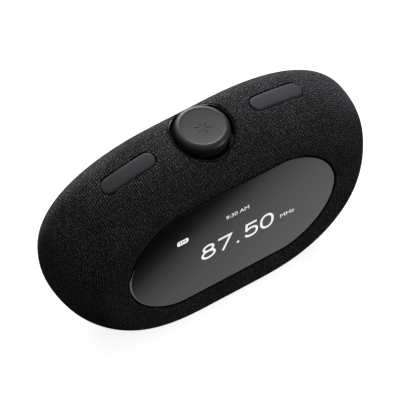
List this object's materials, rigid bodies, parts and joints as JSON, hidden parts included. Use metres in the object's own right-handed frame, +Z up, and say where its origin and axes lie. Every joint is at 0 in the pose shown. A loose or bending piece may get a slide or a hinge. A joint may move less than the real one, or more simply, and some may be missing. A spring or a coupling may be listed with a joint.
{
  "type": "smart speaker",
  "caption": "Fabric-wrapped pebble-shaped tabletop speaker with an oval front display window, a press-and-turn top knob and two flush bar buttons.",
  "frame": {"origin": "middle of the object's box in X and Y, at the underside of the rubber foot", "axes": "+X along the long axis to the right of someone facing the display, +Y towards the back, +Z up; the display window faces -Y"},
  "size_m": [0.2, 0.074, 0.1085],
  "materials": {
    "fabric": "fine woven melange cloth, matte",
    "shell": "moulded, lightly textured",
    "lens": "polished smoked window",
    "well": "gloss black",
    "knob": "soft-touch, satin",
    "button": "soft-touch, matte",
    "rubber": "matte rubber",
    "board": "solder mask, satin",
    "steel": "plated",
    "dark_metal": "dark plated",
    "black": "matte",
    "white": "milky diffuser",
    "cone": "pressed pulp",
    "copper": "enamelled winding and flat cable"
  },
  "bodies": {
    "housing": {"fabric_sleeve": "fabric", "front_shell": "shell", "rear_cover": "shell", "base_plate": "shell", "foot_pad": "rubber", "port_plate": "shell", "display_lens": "lens", "knob_well": "well", "power_inlet": "steel", "usb_socket": "steel", "aerial_gland": "rubber", "lens_seal": "rubber", "display_diffuser": "white", "display_panel": "black", "display_holder": "black", "display_ribbon": "copper", "main_board": "board", "processor_shield": "steel", "tuner_shield": "steel", "amplifier_chip": "black", "capacitor_1": "dark_metal", "capacitor_2": "dark_metal", "clock_cell": "steel", "key_board": "board", "encoder_body": "dark_metal", "knob_switch": "steel", "left_switch": "steel", "right_switch": "steel", "left_baffle": "shell", "left_driver_frame": "dark_metal", "left_driver_magnet": "steel", "left_surround": "rubber", "right_baffle": "shell", "right_driver_frame": "dark_metal", "right_driver_magnet": "steel", "right_surround": "rubber", "base_screw_1": "steel", "base_screw_2": "steel", "base_screw_3": "steel", "base_screw_4": "steel", "holder_screw_1": "steel", "holder_screw_2": "steel", "holder_screw_3": "steel", "holder_screw_4": "steel", "cover_screw_1": "steel", "cover_screw_2": "steel", "key_board_screw_1": "steel", "key_board_screw_2": "steel"},
    "knob_carrier": {"knob_carrier": "black"},
    "knob": {"knob_cap": "knob", "knob_shaft": "steel"},
    "left_button": {"left_button": "button"},
    "right_button": {"right_button": "button"},
    "left_cone": {"left_cone": "cone", "left_voice_coil": "copper"},
    "right_cone": {"right_cone": "cone", "right_voice_coil": "copper"}
  },
  "joints": [
    {"name": "knob_press", "type": "slide", "parent": "housing", "child": "knob_carrier", "axis": [0, 0, -1], "range_m": [0, 0.0008], "stiffness_N_per_m": 2500},
    {"name": "knob_turn", "type": "hinge", "parent": "knob_carrier", "child": "knob", "pos_m": [0, 0.00235, 0.1], "axis": [0, 0, 1], "continuous": true},
    {"name": "left_button_press", "type": "slide", "parent": "housing", "child": "left_button", "axis": [0, 0, -1], "range_m": [0, 0.0006], "stiffness_N_per_m": 1500},
    {"name": "right_button_press", "type": "slide", "parent": "housing", "child": "right_button", "axis": [0, 0, -1], "range_m": [0, 0.0006], "stiffness_N_per_m": 1500},
    {"name": "left_cone_travel", "type": "slide", "parent": "housing", "child": "left_cone", "axis": [-1, 0, 0], "range_m": [-0.001, 0.001], "stiffness_N_per_m": 600},
    {"name": "right_cone_travel", "type": "slide", "parent": "housing", "child": "right_cone", "axis": [1, 0, 0], "range_m": [-0.001, 0.001], "stiffness_N_per_m": 600}
  ]
}
